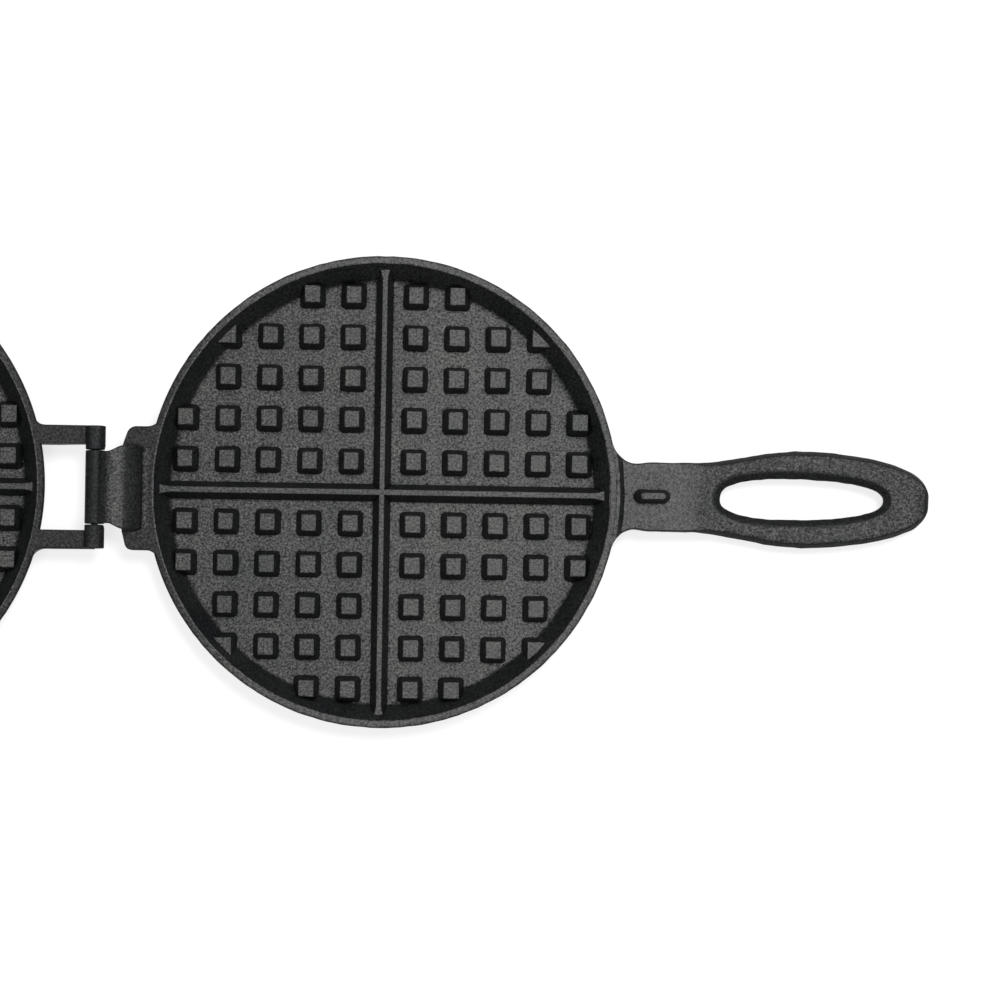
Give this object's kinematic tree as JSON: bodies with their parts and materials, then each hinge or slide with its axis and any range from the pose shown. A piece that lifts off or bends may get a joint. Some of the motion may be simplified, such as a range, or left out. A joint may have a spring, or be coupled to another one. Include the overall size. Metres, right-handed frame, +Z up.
{
  "type": "stovetop waffle iron",
  "caption": "Round cast iron stovetop waffle iron, two hinged plates with looped handles, drawn open flat.",
  "frame": {"origin": "centre of the lower plate's flat back", "axes": "+X from the pan's centre to the lower plate's handle, +Z up out of the lower plate's cavity"},
  "size_m": [0.674, 0.19, 0.021],
  "materials": {
    "cast_iron": "satin",
    "pin_steel": "satin"
  },
  "bodies": {
    "lower_half": {"lower_plate": "cast_iron", "hinge_pin": "pin_steel"},
    "upper_half": {"upper_plate": "cast_iron"}
  },
  "joints": [
    {"name": "plate_hinge", "type": "hinge", "parent": "lower_half", "child": "upper_half", "pos_m": [-0.1153, 0, 0.01515], "axis": [0, 1, 0], "range_deg": [0, 180]}
  ]
}
